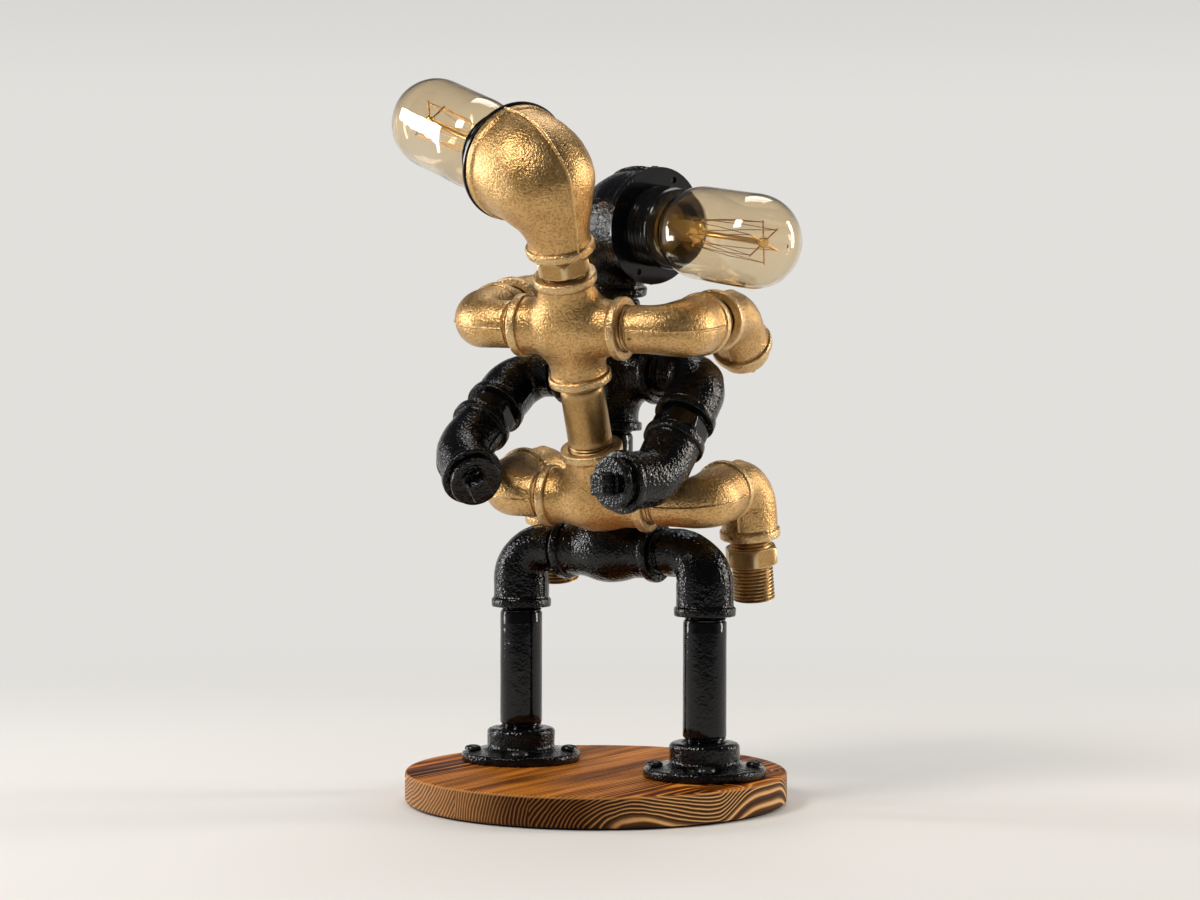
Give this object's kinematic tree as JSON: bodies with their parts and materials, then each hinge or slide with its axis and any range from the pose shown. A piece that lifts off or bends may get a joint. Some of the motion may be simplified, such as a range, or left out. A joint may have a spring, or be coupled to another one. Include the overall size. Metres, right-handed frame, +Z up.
{
  "type": "table_lamp",
  "caption": "Two embracing figures of black and gold pipe fittings on a round burnt-pine base, with tubular bulbs in their elbow heads.",
  "frame": {"origin": "centre of the base's underside, on the surface it stands on", "axes": "+Z up, +X along the black figure's hips to its right as the gold figure sees it, +Y away from the gold figure"},
  "size_m": [0.2252, 0.2066, 0.3553],
  "materials": {
    "burnt_pine": "flame-scorched pine under semi-gloss varnish",
    "black_felt": "glued felt",
    "black_rubber": "moulded rubber",
    "black_steel": "black oxide wood screws",
    "zinc_steel": "zinc-plated threaded tube",
    "clear_glass": "clear glass, faint amber tint",
    "stem_glass": "amber stem glass",
    "filament_wire": "thin carbon-type wire",
    "nickel_brass": "plated brass",
    "porcelain": "white porcelain",
    "holder_black": "black moulded lampholder",
    "gold_paint": "metallic gold paint on cast iron",
    "black_paint": "gloss black paint on cast iron"
  },
  "bodies": {
    "base": {"base_disc": "burnt_pine", "black_cross": "black_paint", "black_hip_tee": "black_paint", "black_left_arm_nipple": "black_paint", "black_left_hand_elbow": "black_paint", "black_left_hand_plug": "black_paint", "black_left_hip_elbow": "black_paint", "black_left_leg_pipe": "black_paint", "black_left_shoulder_elbow": "black_paint", "black_neck_nipple": "black_paint", "black_right_arm_nipple": "black_paint", "black_right_hand_elbow": "black_paint", "black_right_hand_plug": "black_paint", "black_right_hip_elbow": "black_paint", "black_right_leg_pipe": "black_paint", "black_right_shoulder_elbow": "black_paint", "black_spine_pipe": "black_paint", "felt_disc": "black_felt", "flange_screws": "black_steel", "gold_cross": "gold_paint", "gold_hip_tee": "gold_paint", "gold_left_arm_nipple": "gold_paint", "gold_left_foot_nipple": "gold_paint", "gold_left_hand_elbow": "gold_paint", "gold_left_hand_plug": "gold_paint", "gold_left_shin_elbow": "gold_paint", "gold_left_shoulder_elbow": "gold_paint", "gold_left_thigh_elbow": "gold_paint", "gold_neck_nipple": "gold_paint", "gold_right_arm_nipple": "gold_paint", "gold_right_foot_nipple": "gold_paint", "gold_right_hand_elbow": "gold_paint", "gold_right_hand_plug": "gold_paint", "gold_right_shin_elbow": "gold_paint", "gold_right_shoulder_elbow": "gold_paint", "gold_right_thigh_elbow": "gold_paint", "gold_spine_pipe": "gold_paint", "inlet_grommet": "black_rubber", "left_floor_flange": "black_paint", "link_stud": "zinc_steel", "right_floor_flange": "black_paint"},
    "black_head": {"black_head_elbow": "black_paint", "black_holder_body": "holder_black", "black_holder_brass": "nickel_brass", "black_holder_insert": "porcelain", "black_holder_plate": "black_paint"},
    "black_bulb": {"black_bulb_cap": "nickel_brass", "black_bulb_filament": "filament_wire", "black_bulb_glass": "clear_glass", "black_bulb_stem": "stem_glass"},
    "gold_head": {"gold_head_elbow": "gold_paint", "gold_holder_body": "holder_black", "gold_holder_brass": "nickel_brass", "gold_holder_insert": "porcelain", "gold_holder_plate": "gold_paint"},
    "gold_bulb": {"gold_bulb_cap": "nickel_brass", "gold_bulb_filament": "filament_wire", "gold_bulb_glass": "clear_glass", "gold_bulb_stem": "stem_glass"}
  },
  "joints": [
    {"name": "black_head_turn", "type": "hinge", "parent": "base", "child": "black_head", "pos_m": [0.0036, 0.008, 0.2117], "axis": [0.108, -0.1298, 0.9856], "range_deg": [-10, 60]},
    {"name": "black_bulb_turn", "type": "hinge", "parent": "black_head", "child": "black_bulb", "pos_m": [0.04117, -0.01117, 0.28298], "axis": [0.9442, -0.2968, -0.1425], "range_deg": [-180, 180]},
    {"name": "gold_head_turn", "type": "hinge", "parent": "base", "child": "gold_head", "pos_m": [0.02196, -0.05584, 0.23375], "axis": [0.1382, -0.4534, 0.8805], "range_deg": [-40, 60]},
    {"name": "gold_bulb_turn", "type": "hinge", "parent": "gold_head", "child": "gold_bulb", "pos_m": [0.00512, -0.08006, 0.31114], "axis": [-0.8853, 0.342, 0.315], "range_deg": [-180, 180]}
  ]
}
